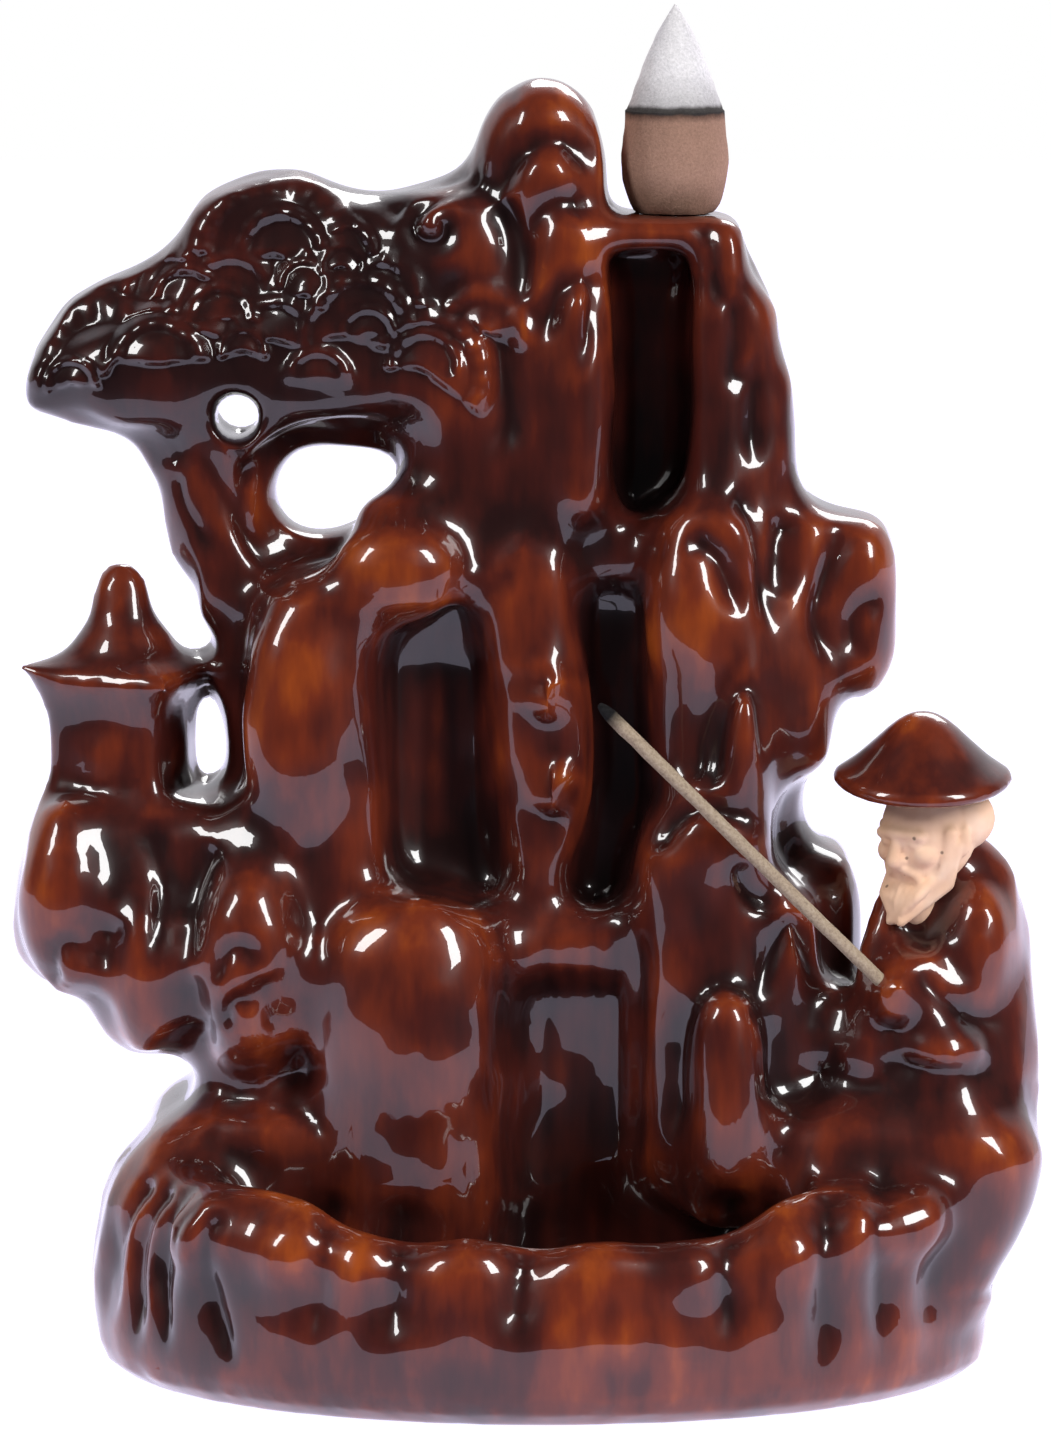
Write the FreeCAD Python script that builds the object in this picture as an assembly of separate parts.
"""Backflow incense burner: a glazed stoneware mountain with a pine, a pavilion and a fisherman.

The burner is one slip-cast piece. A backflow cone stands over the smoke hole in the top ledge, and a
thin incense stick is set in the fisherman's fist as his rod. All sizes are millimetres. The origin is
the middle of the foot, on the surface that the burner stands on; +Z is up and -Y is the front.
"""
import FreeCAD, Part
import math
import os

# Basin and foot
BASIN_HALF_WIDTH = 64.6
BASIN_HALF_DEPTH = 44.8
BASIN_BULGE_HEIGHT = 12.0
FOOT_INSET = 4.6
FRONT_RIM_HEIGHT = 24.0
SHOULDER_RIM_HEIGHT = 30.0
SHOULDER_START = 25.0
SHOULDER_RUN = 9.0
RIM_INSET = 5.2
RIM_WALL = 11.0
POOL_FLOOR_HEIGHT = 12.5
RIB_DEPTH = 1.5
# Directions of the grooves between the ribs, in degrees from +X round by the front; the back has even ribs
FRONT_GROOVES = (8, 20, 32, 43.5, 53, 67.5, 93, 109.5, 121, 128, 135, 141, 147, 154, 164, 176)
BACK_GROOVES = (194, 212, 230, 248, 266, 284, 302, 320, 338)
LOBE_POINT_SPACING = 11.0
VENT_DIAMETER = 10.0
VENT_Y = 14.0
CASTING_WALL = 6.0
HOLLOW_CORNER = 9.0

# Core of the mountain and the terraces that the falls run over
CORE_LEFT = -46.0
CORE_RIGHT = 42.0
MIDDLE_LEFT = -39.0
MIDDLE_RIGHT = 36.0
MIDDLE_STEP_BACK = 2.0
LOWER_TERRACE_HEIGHT = 64.0
UPPER_TERRACE_HEIGHT = 119.5
TERRACE_LIP = 3.4
LOWER_FALL_FRONT = -5.0
MIDDLE_FALL_FRONT = 3.0
NICHE_BACK = 10.5
MOUNTAIN_BACK = 32.0

# Ledge, niche and smoke hole
LEDGE_TOP_HEIGHT = 162.6
LEDGE_THICKNESS = 4.8
LEDGE_WIDTH = 19.2
LEDGE_CENTRE_X = 18.2
LEDGE_FRONT = -2.2
LEDGE_BACK = 19.5
NICHE_LEFT = 9.3
NICHE_RIGHT = 20.6
SMOKE_HOLE_DIAMETER = 4.6
PEAK_HEIGHT = 181.5

# Pine tree
PINE_BACK = 19.0
PINE_FRONT = 7.0
HOLE_DIAMETER = 6.8
HOLE_CENTRE = (-43.3, 134.0)
WINDOW_LEFT_RADIUS = 6.5
WINDOW_RIGHT_RADIUS = 3.8
TRUNK_RADIUS = 2.5
SCALLOP_DEPTH = 1.1
FAN_TEETH = 6
FAN_SPREAD = 216.0
FAN_BEVEL = 1.8

# Pavilion
PAVILION_CENTRE = (-59.6, 8.0)
PAVILION_TURN = -20.0
PAVILION_FLOOR_HEIGHT = 79.6
PAVILION_BODY_SIDE = 16.9
PAVILION_BODY_HEIGHT = 12.2
PAVILION_ROOF_SIDE = 23.2
PAVILION_EAVE_HEIGHT = 5.4
PAVILION_ROOF_HEIGHT = 16.4
FINIAL_RADIUS = 2.2

# Fisherman
SEAT_HEIGHT = 41.0
FIGURE_CENTRE = (56.0, -2.0)
ROBE_HEIGHT = 36.0
ROBE_HALF_WIDTH = 14.2
ROBE_HALF_DEPTH = 13.0
HEAD_RADIUS = 6.9
HAT_RADIUS = 12.4
HAT_HEIGHT = 12.6
BRIM_THICKNESS = 2.6
BEARD_LENGTH = 12.5
FIST_RADIUS = 3.5
FIST_CENTRE = (48.6, -15.0, 56.2)

# Incense cone
CONE_HEIGHT = 29.0
CONE_WIDEST_DIAMETER = 15.0
CONE_WIDEST_HEIGHT = 8.0
CONE_FOOT_DIAMETER = 11.6
CONE_BORE_DIAMETER = 3.6
CONE_BORE_DEPTH = 14.0
CONE_TIP_RADIUS = 0.7

# Incense stick
STICK_DIAMETER = 1.9
STICK_SHOWN_LENGTH = 54.5
STICK_HELD_LENGTH = 4.5
STICK_CLEARANCE = 0.2
STICK_ELEVATION = 44.0
STICK_SWING = 4.0

# Straight steps in each round end of a stone, and the easing above which a stone gets a second bevel
ARC_STEPS = 5
BROAD_EASING = 3.9
UP = FreeCAD.Vector(0, 0, 1)
DEPTH = FreeCAD.Vector(0, 1, 0)


def vector(x, y, z):
    return FreeCAD.Vector(x, y, z)


def front_ring(points, level):
    """A closed line through (x, z) points in the upright plane y = level."""
    corners = [vector(x, level, z) for x, z in points]
    return Part.makePolygon(corners + corners[:1])


def prism(points, front, back):
    """A straight body between two upright planes."""
    return Part.Face(front_ring(points, front)).extrude(DEPTH * (back - front))


def stone(outline_at, front, back, front_round, back_round=0.0):
    """A stone lofted from front to back. outline_at(inset) is its outline, drawn in where the edges ease."""
    rings = [front_ring(outline_at(front_round * 0.8), front)]
    if front_round > BROAD_EASING:
        rings.append(front_ring(outline_at(front_round * 0.25), front + front_round * 0.45))
    rings.append(front_ring(outline_at(0.0), front + front_round * 1.1))
    if back_round > 0:
        rings.append(front_ring(outline_at(0.0), back - back_round))
    rings.append(front_ring(outline_at(back_round * 0.7), back))
    return Part.makeLoft(rings, True, True)


def tongue_outline(low, high, inset, steps):
    """Two round ends, each (x, z, radius), joined by their tangents."""
    low_x, low_z, low_radius = low
    high_x, high_z, high_radius = high
    length = math.hypot(high_x - low_x, high_z - low_z)
    along_x = (high_x - low_x) / length
    along_z = (high_z - low_z) / length
    half = math.acos((low_radius - high_radius) / length)
    points = []
    for (x, z, radius), begin, sweep in ((high, -half, 2 * half), (low, half, 2 * math.pi - 2 * half)):
        for step in range(steps + 1):
            angle = begin + sweep * step / steps
            reach = radius - inset
            points.append((x + reach * (along_x * math.cos(angle) + along_z * math.sin(angle)),
                           z + reach * (along_z * math.cos(angle) - along_x * math.sin(angle))))
    return points


def tongue(low, high, front, back, front_round=4.0, back_round=0.0):
    """A finger of rock with round ends, eased at the front and, where it shows, at the back."""
    most = 0.9 * min(low[2], high[2])
    return stone(lambda inset: tongue_outline(low, high, inset, ARC_STEPS), front, back,
                 min(front_round, most), min(back_round, most))


def slab_outline(left, right, bottom, top, corner, inset):
    """A rectangle with round corners, drawn in by the inset."""
    radius = max(corner - inset, corner * 0.2)
    points = []
    for index, (x, z) in enumerate([(right, top), (right, bottom), (left, bottom), (left, top)]):
        centre_x = x - math.copysign(inset + radius, x - (left + right) / 2)
        centre_z = z - math.copysign(inset + radius, z - (bottom + top) / 2)
        for step in range(3):
            angle = math.pi / 2 * (index + step / 2)
            points.append((centre_x + radius * math.sin(angle), centre_z + radius * math.cos(angle)))
    return points


def slab(left, right, bottom, top, corner, front, back, front_round=4.0, back_round=0.0):
    """A block of rock with round corners, seen from the front."""
    most = corner * 0.9
    return stone(lambda inset: slab_outline(left, right, bottom, top, corner, inset), front, back,
                 min(front_round, most), min(back_round, most))


def ball(centre, half_sizes, turn=0.0, bands=4, sides=8):
    """A lump with its own half width, half depth and half height, turned about the upright axis."""
    half_width, half_depth, half_height = half_sizes
    rings = []
    for band in range(bands + 1):
        level = math.pi * (0.07 + 0.86 * band / bands)
        points = []
        for side in range(sides):
            around = 2 * math.pi * side / sides
            points.append(vector(half_width * math.sin(level) * math.cos(around),
                                 half_depth * math.sin(level) * math.sin(around),
                                 -half_height * math.cos(level)))
        rings.append(Part.makePolygon(points + points[:1]))
    lump = Part.makeLoft(rings, True, True)
    lump.rotate(vector(0, 0, 0), UP, turn)
    lump.translate(vector(*centre))
    return lump


def smooth_step(value, start, end):
    share = min(max((value - start) / (end - start), 0.0), 1.0)
    return share * share * (3 - 2 * share)


def rib_places():
    """Directions round the rim, each with how far it stands out: 0 in a groove, 1 on the lobe between two."""
    grooves = sorted(FRONT_GROOVES + BACK_GROOVES)
    places = []
    for begin, finish in zip(grooves, grooves[1:] + [grooves[0] + 360]):
        places.append((begin, 0.0))
        count = max(2, round((finish - begin) / LOBE_POINT_SPACING))
        for point in range(count):
            share = 0.24 + 0.52 * point / (count - 1)
            places.append((begin + (finish - begin) * share, 1.0))
    return [(math.radians(-direction), out) for direction, out in reversed(places)]


def basin_ring(inset, height, crest_share, rib_share):
    """One closed line around the basin. The raised shoulders and the ribs fade in by their shares."""
    points = []
    for angle, rise_of_rib in rib_places():
        out = RIB_DEPTH * rib_share * (rise_of_rib - 1.0) - inset
        x = (BASIN_HALF_WIDTH + out) * math.cos(angle)
        y = (BASIN_HALF_DEPTH + out) * math.sin(angle)
        raised = smooth_step(abs(x), SHOULDER_START, SHOULDER_START + SHOULDER_RUN)
        rise = raised * (SHOULDER_RIM_HEIGHT - FRONT_RIM_HEIGHT) + RIB_DEPTH * 0.6 * rib_share * rise_of_rib
        points.append(vector(x, y, height + rise * crest_share))
    return Part.makePolygon(points + points[:1])


def basin():
    """The bowl: up the ribbed outside, over the crest and down to the pool floor, ring by ring."""
    rim = FRONT_RIM_HEIGHT
    bulge = BASIN_BULGE_HEIGHT
    rings = [
        basin_ring(FOOT_INSET, 0.0, 0.0, 0.0),
        basin_ring(FOOT_INSET * 0.2, bulge * 0.4, 0.0, 0.5),
        basin_ring(0.0, bulge, 0.1, 1.0),
        basin_ring(RIM_INSET * 0.4, bulge + (rim - bulge) * 0.72, 0.7, 1.0),
        basin_ring(RIM_INSET, rim, 1.0, 1.0),
        basin_ring(RIM_INSET + RIM_WALL * 0.4, rim, 1.0, 0.6),
        basin_ring(RIM_INSET + RIM_WALL * 0.8, (rim + POOL_FLOOR_HEIGHT) / 2 + 1.0, 0.4, 0.0),
        basin_ring(RIM_INSET + RIM_WALL, POOL_FLOOR_HEIGHT, 0.0, 0.0),
    ]
    return Part.makeLoft(rings, True, True)


def mountain_core():
    """The masses that carry everything: each fall runs down the front of one of them."""
    terrace = LOWER_TERRACE_HEIGHT
    upper = UPPER_TERRACE_HEIGHT
    niche_top = LEDGE_TOP_HEIGHT - LEDGE_THICKNESS / 2
    return [
        slab(CORE_LEFT, CORE_RIGHT, 5.0, terrace, 11.0, LOWER_FALL_FRONT, MOUNTAIN_BACK, 2.5, 9.0),
        slab(MIDDLE_LEFT, MIDDLE_RIGHT, terrace - 16.0, upper - 3.5, 12.0, MIDDLE_FALL_FRONT,
             MOUNTAIN_BACK - MIDDLE_STEP_BACK, 2.5, 9.0),
        slab(-16.5, 31.0, upper - 22.0, niche_top, 9.0, NICHE_BACK, MOUNTAIN_BACK - 6.0, 2.0, 8.0),
        tongue((-6.4, upper + 8.0, 15.4), (-0.3, PEAK_HEIGHT - 9.0, 9.0), -1.4, 23.5, 6.5, 6.5),
    ]


def back_rocks():
    """The plainer back: broad upright folds from the foot to the shoulders of the mountain."""
    back = MOUNTAIN_BACK
    return [
        tongue((-30.0, 16.0, 13.0), (-27.0, 92.0, 11.0), back - 14.0, back + 3.0, 3.0, 8.0),
        tongue((-4.0, 16.0, 14.0), (-2.0, 112.0, 12.0), back - 14.0, back + 4.0, 3.0, 8.0),
        tongue((25.0, 16.0, 13.0), (21.0, 100.0, 11.0), back - 14.0, back + 2.5, 3.0, 8.0),
        tongue((10.0, 60.0, 9.0), (10.0, 140.0, 9.0), back - 16.0, back - 1.0, 3.0, 6.0),
    ]


def terraces():
    """Sills that the smoke falls over: below the niche and below the two middle falls."""
    return [
        slab(-9.5, 22.5, UPPER_TERRACE_HEIGHT - 9.0, UPPER_TERRACE_HEIGHT, 3.4,
             MIDDLE_FALL_FRONT - TERRACE_LIP, 16.0, 2.4),
        slab(-23.0, 16.0, LOWER_TERRACE_HEIGHT - 8.0, LOWER_TERRACE_HEIGHT + 1.0, 3.4,
             LOWER_FALL_FRONT - TERRACE_LIP, 14.0, 2.4),
    ]


def niche_frame():
    """The ledge that carries the cone, the wall left of the niche and the stepped towers right of it."""
    half = LEDGE_WIDTH / 2
    top = LEDGE_TOP_HEIGHT
    sill = UPPER_TERRACE_HEIGHT
    wall_radius = 4.6
    return [
        slab(LEDGE_CENTRE_X - half, LEDGE_CENTRE_X + half, top - LEDGE_THICKNESS, top, 1.8,
             LEDGE_FRONT, LEDGE_BACK, 1.3, 1.3),
        tongue((NICHE_LEFT - wall_radius, sill + 4.0, wall_radius),
               (NICHE_LEFT - wall_radius, top - 11.5, wall_radius), -6.4, 17.0, 3.4),
        slab(NICHE_RIGHT, NICHE_RIGHT + 7.4, sill - 4.0, top - 1.2, 2.6, -3.8, 18.0, 2.0),
        tongue((NICHE_RIGHT + 8.2, sill, 3.2), (NICHE_RIGHT + 8.2, top - 13.6, 3.2), -2.6, 18.6, 2.5),
        tongue((NICHE_RIGHT + 11.0, sill, 3.0), (NICHE_RIGHT + 11.0, top - 23.4, 3.0), -1.2, 19.2, 2.4),
    ]


def upper_rocks():
    """Rocks from the upper terrace to the peak, left of the niche."""
    top = PEAK_HEIGHT
    return [
        tongue((-6.0, 121.0, 11.5), (-5.2, 139.0, 12.4), -3.2, 24.5, 5.0),
        tongue((3.2, 139.5, 4.9), (3.3, top - 22.0, 5.2), -4.6, 14.0, 3.6),
        tongue((0.2, 150.0, 5.4), (0.2, top - 13.4, 5.8), -3.4, 12.0, 4.2),
        tongue((-20.6, 113.6, 7.4), (-19.4, 117.6, 6.6), -4.2, 21.0, 4.4),
        tongue((-33.6, 107.0, 5.2), (-27.0, 109.2, 5.6), -1.8, 19.4, 3.6),
        tongue((-14.6, 159.4, 6.6), (-21.4, 158.4, 5.6), 0.6, 20.0, 3.6),
    ]


def left_rocks():
    """The pillar and the block beside the falls, and the overhanging cliff under the pavilion."""
    floor = PAVILION_FLOOR_HEIGHT
    return [
        tongue((-31.2, 72.0, 9.2), (-32.0, 104.6, 8.8), -9.4, 24.0, 5.2, 4.0),
        slab(-31.4, -5.8, 12.0, 68.4, 8.6, -17.4, 12.0, 6.0),
        tongue((-41.6, 50.0, 10.6), (-41.8, floor - 7.6, 9.8), -8.2, 27.0, 5.4, 5.0),
        tongue((-55.4, 52.4, 8.6), (-56.6, floor - 9.0, 8.8), -4.6, 23.4, 5.2, 5.0),
        tongue((-66.2, 61.8, 9.6), (-64.6, floor - 8.8, 9.2), -1.2, 20.6, 5.4, 5.0),
        slab(-73.0, -44.0, floor - 12.0, floor, 4.4, -5.4, 21.6, 3.0, 3.0),
        tongue((-38.6, 38.0, 8.4), (-38.6, 46.0, 8.4), -4.0, 26.0, 4.4),
        tongue((-47.0, 27.4, 11.2), (-37.0, 30.8, 9.8), -15.0, 27.0, 5.6),
    ]


def middle_rocks():
    """The hanging rock between the two middle falls, with its two buds."""
    return [
        tongue((-0.9, 70.0, 4.2), (-2.5, 112.6, 6.9), -5.8, 9.0, 3.2),
        ball((0.0, -5.2, 98.4), (3.3, 3.2, 5.6)),
        ball((1.4, -5.2, 84.0), (2.9, 2.9, 4.8)),
    ]


def right_rocks():
    """The rocks right of the falls, down to the seat rock."""
    return [
        tongue((24.2, 84.0, 8.9), (23.4, 116.0, 8.8), -9.2, 25.0, 5.2),
        tongue((26.6, 80.0, 4.0), (26.8, 96.4, 4.1), -12.6, 4.0, 3.0),
        tongue((37.0, 101.5, 4.2), (36.8, 118.2, 4.1), -2.8, 18.0, 3.2),
        tongue((44.4, 101.0, 5.2), (44.2, 115.4, 5.0), -2.0, 17.0, 3.8),
        tongue((35.6, 88.2, 4.4), (35.6, 108.0, 4.4), -5.6, 20.0, 3.4),
        tongue((22.2, 32.0, 9.4), (22.0, 73.0, 9.6), -14.0, 24.0, 5.4),
        tongue((24.8, 28.0, 6.0), (25.0, 50.4, 5.6), -19.4, 2.0, 4.2),
        tongue((32.6, 44.0, 5.2), (33.0, 65.0, 5.0), -13.0, 18.0, 3.8),
        tongue((37.6, 40.0, 7.4), (38.0, 66.0, 7.0), -1.0, 25.0, 5.0),
        slab(31.0, 69.6, 9.0, SEAT_HEIGHT, 8.6, -21.0, 19.0, 6.8, 6.0),
    ]


def pine_fan(centre, radius, tilt, front, back):
    """A tuft of needles: a half round fan with a scalloped edge, opening upwards before its tilt."""
    def outline_at(inset):
        points = []
        for tooth in range(FAN_TEETH):
            for share, out in ((0.0, 0.0), (0.3, 1.0), (0.7, 1.0)):
                turned = math.radians(tilt + FAN_SPREAD * ((tooth + share) / FAN_TEETH - 0.5))
                reach = radius - inset + SCALLOP_DEPTH * (out - 1.0)
                points.append((centre[0] + reach * math.sin(turned), centre[1] + reach * math.cos(turned)))
        turned = math.radians(tilt + FAN_SPREAD / 2)
        reach = radius - inset - SCALLOP_DEPTH
        points.append((centre[0] + reach * math.sin(turned), centre[1] + reach * math.cos(turned)))
        return points

    rings = [front_ring(outline_at(FAN_BEVEL), front),
             front_ring(outline_at(0.0), front + FAN_BEVEL),
             front_ring(outline_at(0.0), back)]
    return Part.makeLoft(rings, True, True)


def pine():
    """Leaning canopy with its tufts, the tapering trunk and the gaps that light comes through."""
    outline = [(-73.4, 136.8), (-72.4, 143.0), (-67.4, 149.9), (-62.4, 153.4), (-55.6, 155.3), (-51.2, 159.3),
               (-48.0, 164.7), (-40.0, 168.2), (-34.4, 168.4), (-28.1, 165.4), (-22.5, 164.7), (-12.3, 168.0),
               (-8.0, 150.0), (-9.0, 126.0), (-16.0, 118.0), (-30.0, 112.5), (-41.0, 107.5), (-47.8, 108.8),
               (-51.4, 111.8), (-53.6, 117.0), (-54.0, 124.0), (-57.0, 130.4), (-66.0, 132.8)]
    canopy = prism(outline, PINE_FRONT, PINE_BACK)
    front = PINE_FRONT
    back = PINE_BACK
    tufts = [
        pine_fan((-65.4, 138.6), 8.0, -22.0, front - 3.0, back + 1.2),
        pine_fan((-54.6, 142.6), 9.0, -12.0, front - 4.2, back + 2.0),
        pine_fan((-40.2, 155.4), 11.8, -4.0, front - 3.4, back + 1.6),
        pine_fan((-26.8, 155.6), 8.6, 12.0, front - 4.6, back + 2.4),
        pine_fan((-42.4, 143.4), 7.6, -6.0, front - 6.2, back + 3.0),
        pine_fan((-28.6, 141.8), 9.4, 8.0, front - 6.8, back + 3.4),
        pine_fan((-14.4, 137.4), 8.8, 20.0, front - 8.8, back + 1.0),
    ]
    trunk = [
        tongue((-43.4, 106.0, 3.6), (-46.4, 124.0, 7.6), 2.4, 20.4, 2.8, 2.8),
        tongue((-41.9, PAVILION_FLOOR_HEIGHT - 3.0, TRUNK_RADIUS), (-42.5, 108.0, TRUNK_RADIUS + 0.7),
               3.0, 15.0, 1.8, 1.8),
    ]
    return [canopy] + tufts + trunk


def pine_gaps():
    """The round hole beside the trunk and the window between the branch and the rock."""
    hole = Part.makeCylinder(HOLE_DIAMETER / 2, 60.0, vector(HOLE_CENTRE[0], -20.0, HOLE_CENTRE[1]), DEPTH)
    outline = tongue_outline((-32.3, 123.0, WINDOW_LEFT_RADIUS), (-22.1, 124.8, WINDOW_RIGHT_RADIUS), 0.0, 8)
    return [hole, prism(outline, -20.0, 40.0)]


def square_ring(side, height, lift=0.0):
    """A square line whose corners may lift above the middle of its sides."""
    half = side / 2
    corners = [(-half, -half), (half, -half), (half, half), (-half, half)]
    edges = []
    for index, (x, y) in enumerate(corners):
        next_x, next_y = corners[(index + 1) % 4]
        begin = vector(x, y, height + lift)
        finish = vector(next_x, next_y, height + lift)
        if lift > 0:
            middle = vector((x + next_x) * 0.47, (y + next_y) * 0.47, height)
            edges.append(Part.Arc(begin, middle, finish).toShape())
        else:
            edges.append(Part.makeLine(begin, finish))
    return Part.Wire(edges)


def pavilion():
    """A square lookout: plinth, walls, flared soffit, and a hollow-curved roof with a finial."""
    roof_base = PAVILION_BODY_HEIGHT + PAVILION_EAVE_HEIGHT
    rise = PAVILION_ROOF_HEIGHT
    plinth = Part.makeLoft([square_ring(PAVILION_BODY_SIDE + 1.8, -4.0),
                            square_ring(PAVILION_BODY_SIDE + 1.8, 2.0),
                            square_ring(PAVILION_BODY_SIDE, 3.2)], True, True)
    walls = Part.makeLoft([square_ring(PAVILION_BODY_SIDE, 0.0),
                           square_ring(PAVILION_BODY_SIDE, PAVILION_BODY_HEIGHT + 1.0)], True, True)
    soffit = Part.makeLoft([square_ring(PAVILION_BODY_SIDE - 0.6, PAVILION_BODY_HEIGHT - 1.0),
                            square_ring(PAVILION_BODY_SIDE + 2.2, PAVILION_BODY_HEIGHT + 2.6),
                            square_ring(PAVILION_ROOF_SIDE, roof_base + 0.6)], True, True)
    roof = Part.makeLoft([square_ring(PAVILION_ROOF_SIDE, roof_base - 0.4),
                          square_ring(PAVILION_ROOF_SIDE * 0.94, roof_base + rise * 0.1),
                          square_ring(PAVILION_ROOF_SIDE * 0.6, roof_base + rise * 0.21),
                          square_ring(PAVILION_ROOF_SIDE * 0.36, roof_base + rise * 0.42),
                          square_ring(PAVILION_ROOF_SIDE * 0.25, roof_base + rise * 0.7),
                          square_ring(FINIAL_RADIUS, roof_base + rise * 0.93)], True, True)
    finial = ball((0, 0, roof_base + rise - FINIAL_RADIUS), (FINIAL_RADIUS, FINIAL_RADIUS, FINIAL_RADIUS), 0.0, 4)
    pieces = [plinth, walls, soffit, roof, finial]
    for piece in pieces:
        piece.rotate(vector(0, 0, 0), UP, PAVILION_TURN)
        piece.translate(vector(PAVILION_CENTRE[0], PAVILION_CENTRE[1], PAVILION_FLOOR_HEIGHT))
    return pieces


def robe_ring(centre, height, half_width, half_depth, folds=12):
    """A line around the robe, with one corner for each soft fold of the cloth."""
    points = []
    for fold in range(folds):
        angle = 2 * math.pi * (fold + 0.5) / folds
        points.append(vector(centre[0] + half_width * math.cos(angle), centre[1] + half_depth * math.sin(angle),
                             height))
    return Part.makePolygon(points + points[:1])


def fisherman():
    """A seated old fisherman in a robe and a wide bamboo hat, his head turned down to the water."""
    x, y = FIGURE_CENTRE
    wide = ROBE_HALF_WIDTH
    deep = ROBE_HALF_DEPTH
    seat = SEAT_HEIGHT
    tall = ROBE_HEIGHT
    robe = Part.makeLoft([
        robe_ring((x, y), seat - 4.0, wide - 1.0, deep - 1.0),
        robe_ring((x, y), seat + tall * 0.08, wide, deep),
        robe_ring((x + 1.4, y + 0.8), seat + tall * 0.42, wide * 0.82, deep * 0.78),
        robe_ring((x + 1.6, y + 1.6), seat + tall * 0.84, wide * 0.56, deep * 0.56),
        robe_ring((x + 0.4, y + 1.4), seat + tall, wide * 0.36, deep * 0.38),
    ], True, True)
    fist = vector(*FIST_CENTRE)
    head = vector(x - 2.2, y - 2.2, seat + tall + 0.8)
    hat_foot = vector(x - 3.0, y - 1.4, seat + tall + 2.4)
    limbs = [
        ball((x - 11.2, y - 6.0, seat + 8.0), (5.6, 8.0, 6.6)),
        ball((x - 1.6, y - 9.4, seat + 5.6), (8.2, 6.6, 6.8)),
        ball((fist.x + 3.6, fist.y + 4.4, fist.z + 1.2), (6.2, 5.6, 5.0), 32.0),
        ball((x + 4.6, y - 6.0, seat + tall * 0.56), (5.4, 6.0, 9.6)),
        ball(FIST_CENTRE, (FIST_RADIUS, FIST_RADIUS, FIST_RADIUS)),
        ball((head.x, head.y, head.z), (HEAD_RADIUS, HEAD_RADIUS * 0.94, HEAD_RADIUS * 1.12)),
    ]
    beard = Part.makeLoft([robe_ring((head.x - 1.6, head.y - 2.6), head.z - 1.0, 4.6, 4.0, 7),
                           robe_ring((head.x - 3.0, head.y - 3.6), head.z - BEARD_LENGTH * 0.55, 3.4, 2.6, 7),
                           robe_ring((head.x - 4.2, head.y - 4.6), head.z - BEARD_LENGTH, 0.9, 0.8, 7)], True, True)
    brim = HAT_RADIUS
    edge = BRIM_THICKNESS
    outline = [(0, 0), (brim * 0.66, 0), (brim, edge * 0.4), (brim, edge * 1.1),
               (brim * 0.6, HAT_HEIGHT * 0.62), (brim * 0.26, HAT_HEIGHT * 0.9), (1.0, HAT_HEIGHT), (0, HAT_HEIGHT),
               (0, 0)]
    profile = Part.makePolygon([vector(reach, 0, height) for reach, height in outline])
    hat = Part.Face(profile).revolve(vector(0, 0, 0), UP, 360)
    hat.rotate(vector(0, 0, 0), DEPTH, -2.5)
    hat.translate(hat_foot)
    return [robe, beard, hat] + limbs


def stick_line():
    """Where the stick leaves the fist and the direction in which it rises, up and to the left."""
    rise = math.radians(STICK_ELEVATION)
    swing = math.radians(STICK_SWING)
    direction = vector(-math.cos(rise) * math.cos(swing), -math.cos(rise) * math.sin(swing), math.sin(rise))
    mouth = vector(*FIST_CENTRE) + direction * FIST_RADIUS
    return mouth, direction


def cone_centre():
    return vector(LEDGE_CENTRE_X, (LEDGE_FRONT + LEDGE_BACK) / 2, LEDGE_TOP_HEIGHT)


def smoke_hole():
    """Straight down through the ledge, so that the smoke comes out at the top of the niche."""
    centre = cone_centre()
    length = LEDGE_THICKNESS + 2.0
    return Part.makeCylinder(SMOKE_HOLE_DIAMETER / 2, length, centre - UP * (length - 1.0))


def smoke_throat():
    """The slanted slot that leads from the smoke hole forwards into the niche."""
    centre = cone_centre()
    half = SMOKE_HOLE_DIAMETER / 2 + 0.4
    top = LEDGE_TOP_HEIGHT - LEDGE_THICKNESS
    section = [vector(-half, 0, 0), vector(half, 0, 0), vector(half, 0, -9.0), vector(-half, 0, -9.0)]
    rear = [corner + vector(centre.x, centre.y + half, top) for corner in section]
    throat = Part.Face(Part.makePolygon(rear + rear[:1])).extrude(-DEPTH * (centre.y + half - LEDGE_FRONT - 4.0))
    return throat


def stick_hole():
    mouth, direction = stick_line()
    radius = STICK_DIAMETER / 2 + STICK_CLEARANCE
    return Part.makeCylinder(radius, STICK_HELD_LENGTH + 3.0, mouth - direction * STICK_HELD_LENGTH, direction)


def casting_hollow():
    """What the slip leaves when it is poured out: an empty mountain behind a wall, open at the vent."""
    wall = CASTING_WALL
    terrace = LOWER_TERRACE_HEIGHT
    upper = UPPER_TERRACE_HEIGHT
    lower = prism(slab_outline(CORE_LEFT + wall, CORE_RIGHT - wall, wall, terrace - wall, HOLLOW_CORNER, 0.0),
                  LOWER_FALL_FRONT + wall, MOUNTAIN_BACK - wall)
    higher = prism(slab_outline(MIDDLE_LEFT + wall, MIDDLE_RIGHT - wall, terrace - 2.0 * wall, upper - 2.0 * wall,
                                HOLLOW_CORNER, 0.0), MIDDLE_FALL_FRONT + wall, MOUNTAIN_BACK - MIDDLE_STEP_BACK - wall)
    vent = Part.makeCylinder(VENT_DIAMETER / 2, wall + 2.0, vector(0, VENT_Y, -1.0))
    return [lower, higher, vent]


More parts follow.
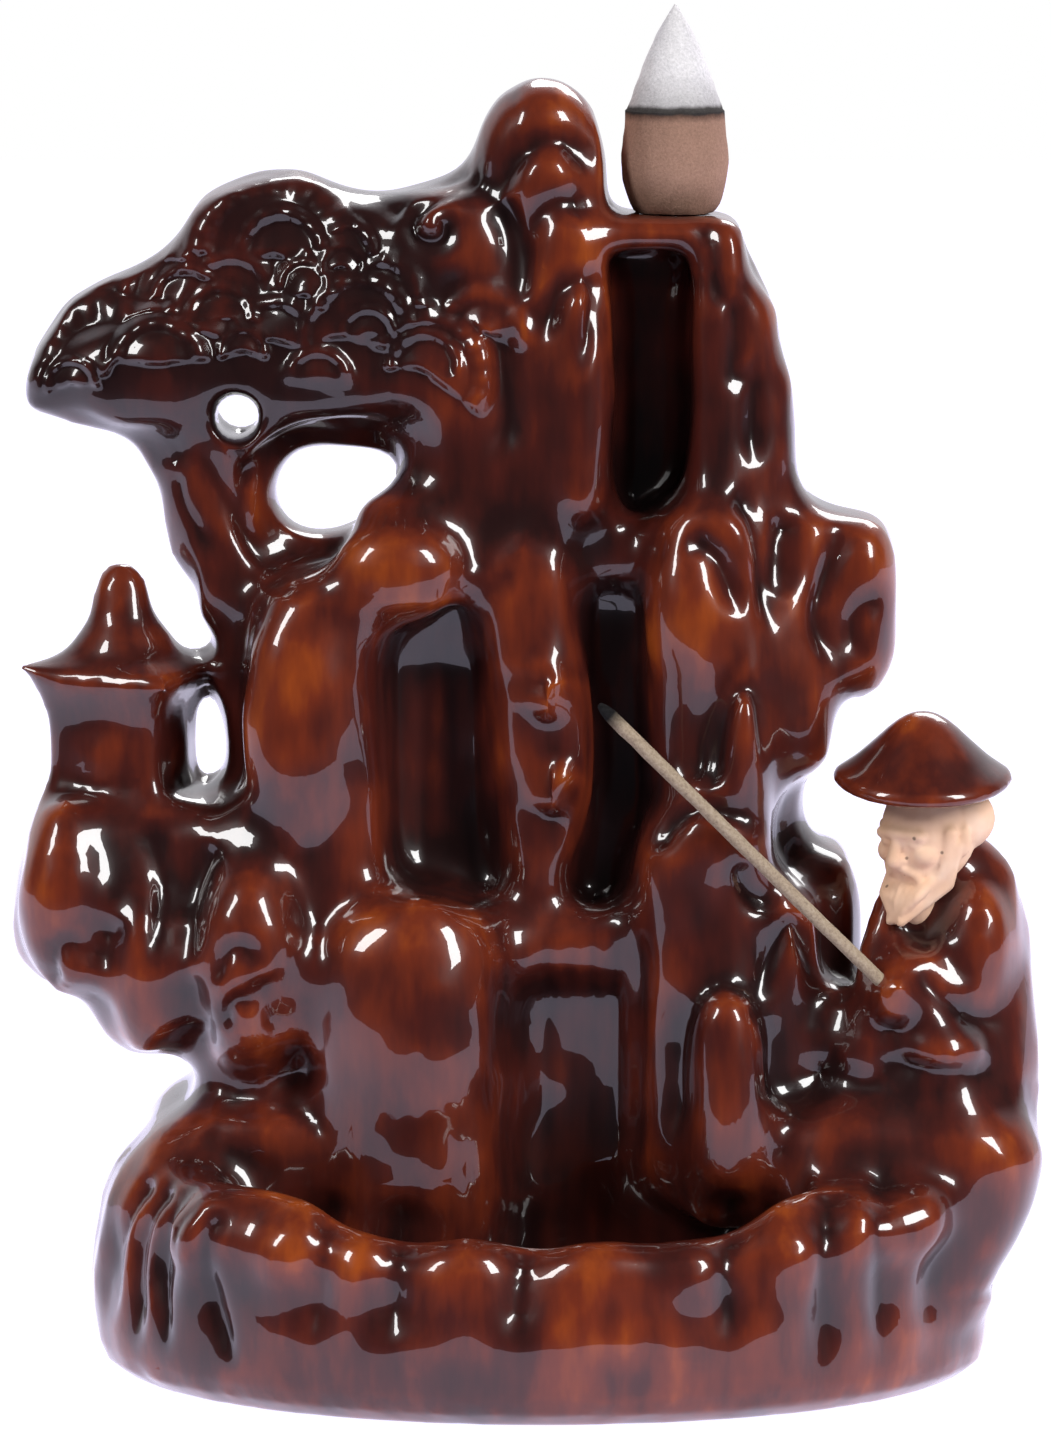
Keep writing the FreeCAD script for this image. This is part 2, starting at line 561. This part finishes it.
def burner_body():
    solids = [basin()]
    solids += mountain_core() + terraces() + niche_frame() + upper_rocks()
    solids += left_rocks() + middle_rocks() + right_rocks() + back_rocks()
    solids += pine() + pavilion() + fisherman()
    body = solids[0].fuse(solids[1:])
    cuts = [smoke_hole(), smoke_throat(), stick_hole()]
    return body.cut(cuts + pine_gaps() + casting_hollow())


def incense_cone():
    """Bullet-shaped cone: short foot, widest low down, then a straight taper, with a blind bore below."""
    foot = CONE_FOOT_DIAMETER / 2
    widest = CONE_WIDEST_DIAMETER / 2
    bore = CONE_BORE_DIAMETER / 2
    swell = widest - foot
    taper = CONE_HEIGHT - CONE_WIDEST_HEIGHT
    outline = [(bore, 0), (foot, 0), (widest, CONE_WIDEST_HEIGHT),
               (widest * 0.84, CONE_WIDEST_HEIGHT + taper * 0.34),
               (CONE_TIP_RADIUS, CONE_HEIGHT), (0, CONE_HEIGHT), (0, CONE_BORE_DEPTH),
               (bore, CONE_BORE_DEPTH - bore), (bore, 0)]
    profile = Part.makePolygon([vector(reach, 0, height) for reach, height in outline])
    cone = Part.Face(profile).revolve(vector(0, 0, 0), UP, 360)
    cone.translate(cone_centre())
    return cone


def incense_stick():
    """The thin stick, its lower end on the bottom of the hole in the fist."""
    mouth, direction = stick_line()
    radius = STICK_DIAMETER / 2
    length = STICK_HELD_LENGTH + STICK_SHOWN_LENGTH
    start = mouth - direction * STICK_HELD_LENGTH
    stick = Part.makeCylinder(radius, length - radius, start, direction)
    point = Part.makeCone(radius, radius * 0.45, radius, start + direction * (length - radius), direction)
    return stick.fuse(point)


def write(name, shape):
    solids = shape.Solids
    print(name, "solids", len(solids), "valid", shape.isValid(), "volume", round(shape.Volume),
          "box", [round(value, 1) for value in (shape.BoundBox.XMin, shape.BoundBox.YMin, shape.BoundBox.ZMin,
                                                shape.BoundBox.XMax, shape.BoundBox.YMax, shape.BoundBox.ZMax)])
    solids[0].exportStep("parts/" + name + ".step")


os.makedirs("parts", exist_ok=True)
write("burner_body", burner_body())
write("incense_cone", incense_cone())
write("incense_stick", incense_stick())
